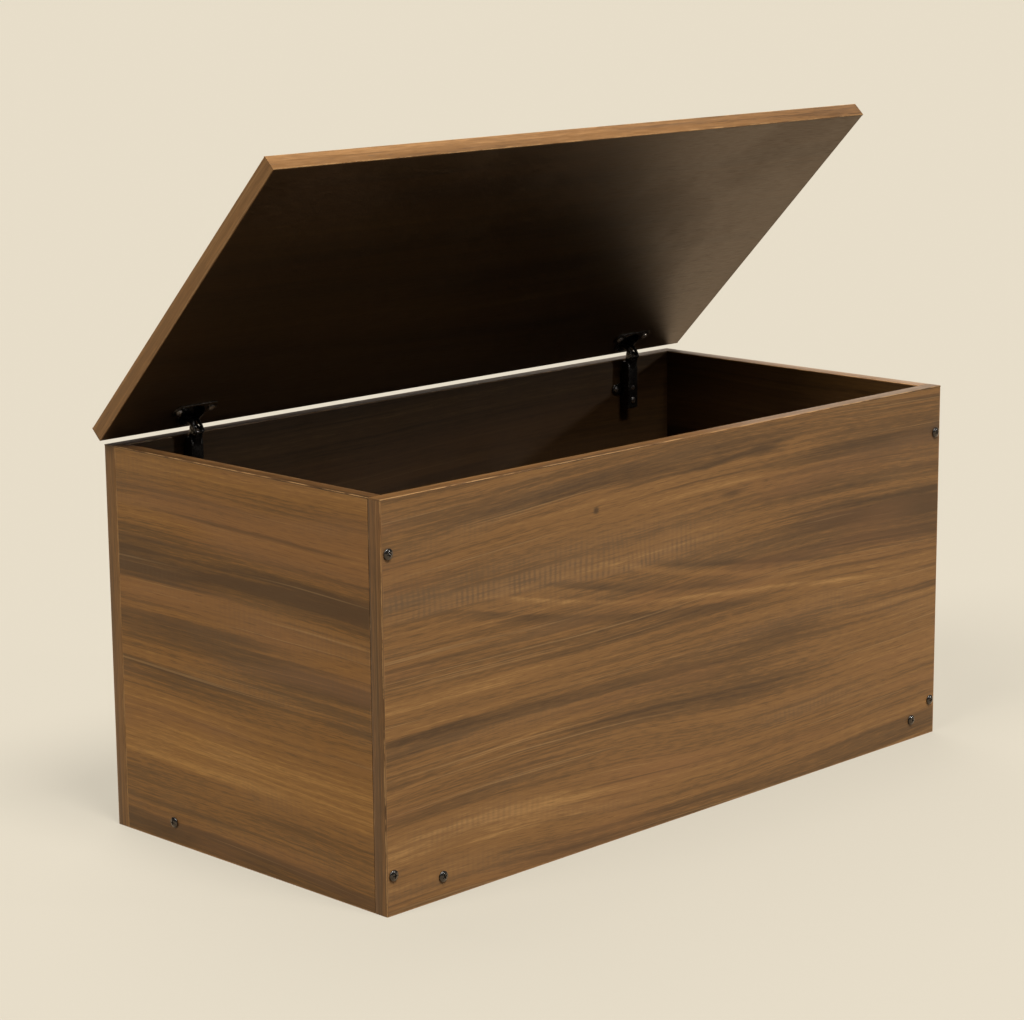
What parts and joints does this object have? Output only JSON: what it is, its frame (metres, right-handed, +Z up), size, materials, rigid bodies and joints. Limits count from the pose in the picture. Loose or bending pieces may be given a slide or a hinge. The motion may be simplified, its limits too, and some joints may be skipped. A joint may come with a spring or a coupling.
{
  "type": "storage ottoman",
  "caption": "Open storage ottoman: a screwed box of walnut-faced board with a bare board lid on two concealed cup hinges, drawn partly open.",
  "frame": {"origin": "on the floor under the middle of the box", "axes": "+X along the front to the viewer's right, +Y from the front to the hinged back, +Z up"},
  "size_m": [0.924, 0.4422, 0.7486],
  "materials": {
    "walnut_board": "walnut woodgrain melamine, satin",
    "walnut_edging": "walnut woodgrain edging, satin",
    "black_screw": "black oxide",
    "black_hinge": "black nickel plate"
  },
  "bodies": {
    "chest": {"back_edging_left": "walnut_edging", "back_edging_right": "walnut_edging", "back_edging_top": "walnut_edging", "back_panel": "walnut_board", "back_panel_screw_1": "black_screw", "back_panel_screw_2": "black_screw", "back_panel_screw_3": "black_screw", "back_panel_screw_4": "black_screw", "back_panel_screw_5": "black_screw", "back_panel_screw_6": "black_screw", "bottom_panel": "walnut_board", "front_edging_left": "walnut_edging", "front_edging_right": "walnut_edging", "front_edging_top": "walnut_edging", "front_panel": "walnut_board", "front_panel_screw_1": "black_screw", "front_panel_screw_2": "black_screw", "front_panel_screw_3": "black_screw", "front_panel_screw_4": "black_screw", "front_panel_screw_5": "black_screw", "front_panel_screw_6": "black_screw", "left_arm_pin": "black_hinge", "left_end_edging_top": "walnut_edging", "left_end_panel": "walnut_board", "left_end_screw": "black_screw", "left_fixing_screw": "black_hinge", "left_hinge_arm": "black_hinge", "left_mounting_plate": "black_hinge", "left_plate_screw_1": "black_hinge", "left_plate_screw_2": "black_hinge", "left_side_screw": "black_hinge", "right_arm_pin": "black_hinge", "right_end_edging_top": "walnut_edging", "right_end_panel": "walnut_board", "right_end_screw": "black_screw", "right_fixing_screw": "black_hinge", "right_hinge_arm": "black_hinge", "right_mounting_plate": "black_hinge", "right_plate_screw_1": "black_hinge", "right_plate_screw_2": "black_hinge", "right_side_screw": "black_hinge"},
    "lid": {"left_cup_pin": "black_hinge", "left_cup_screw_1": "black_hinge", "left_cup_screw_2": "black_hinge", "left_hinge_cup": "black_hinge", "lid_edging_front": "walnut_edging", "lid_edging_left": "walnut_edging", "lid_edging_rear": "walnut_edging", "lid_edging_right": "walnut_edging", "lid_panel": "walnut_board", "right_cup_pin": "black_hinge", "right_cup_screw_1": "black_hinge", "right_cup_screw_2": "black_hinge", "right_hinge_cup": "black_hinge"},
    "left_outer_lever": {"left_outer_lever": "black_hinge"},
    "left_inner_lever": {"left_inner_lever": "black_hinge"},
    "right_outer_lever": {"right_outer_lever": "black_hinge"},
    "right_inner_lever": {"right_inner_lever": "black_hinge"}
  },
  "joints": [
    {"name": "left_outer_lever_turn", "type": "hinge", "parent": "chest", "child": "left_outer_lever", "pos_m": [-0.35, 0.1815, 0.4293], "axis": [-1, 0, 0], "range_deg": [-27.5, 26.9]},
    {"name": "lid_turn", "type": "hinge", "parent": "left_outer_lever", "child": "lid", "pos_m": [-0.35, 0.20339, 0.44008], "axis": [-1, 0, 0], "range_deg": [-72.68, 74.26]},
    {"name": "right_outer_lever_turn", "type": "hinge", "parent": "chest", "child": "right_outer_lever", "pos_m": [0.35, 0.1815, 0.4293], "axis": [-1, 0, 0], "range_deg": [-27.5, 26.9]},
    {"name": "left_inner_lever_turn", "type": "hinge", "parent": "chest", "child": "left_inner_lever", "pos_m": [-0.35, 0.1885, 0.4335], "axis": [-1, 0, 0], "range_deg": [-34.3, 33.6]},
    {"name": "right_inner_lever_turn", "type": "hinge", "parent": "chest", "child": "right_inner_lever", "pos_m": [0.35, 0.1885, 0.4335], "axis": [-1, 0, 0], "range_deg": [-34.3, 33.6]}
  ],
  "couplings": [
    {"joint": "left_outer_lever_turn", "follows": "lid_turn", "ratio": -0.36709},
    {"joint": "right_outer_lever_turn", "follows": "lid_turn", "ratio": -0.36709},
    {"joint": "left_inner_lever_turn", "follows": "lid_turn", "ratio": -0.45886},
    {"joint": "right_inner_lever_turn", "follows": "lid_turn", "ratio": -0.45886}
  ]
}
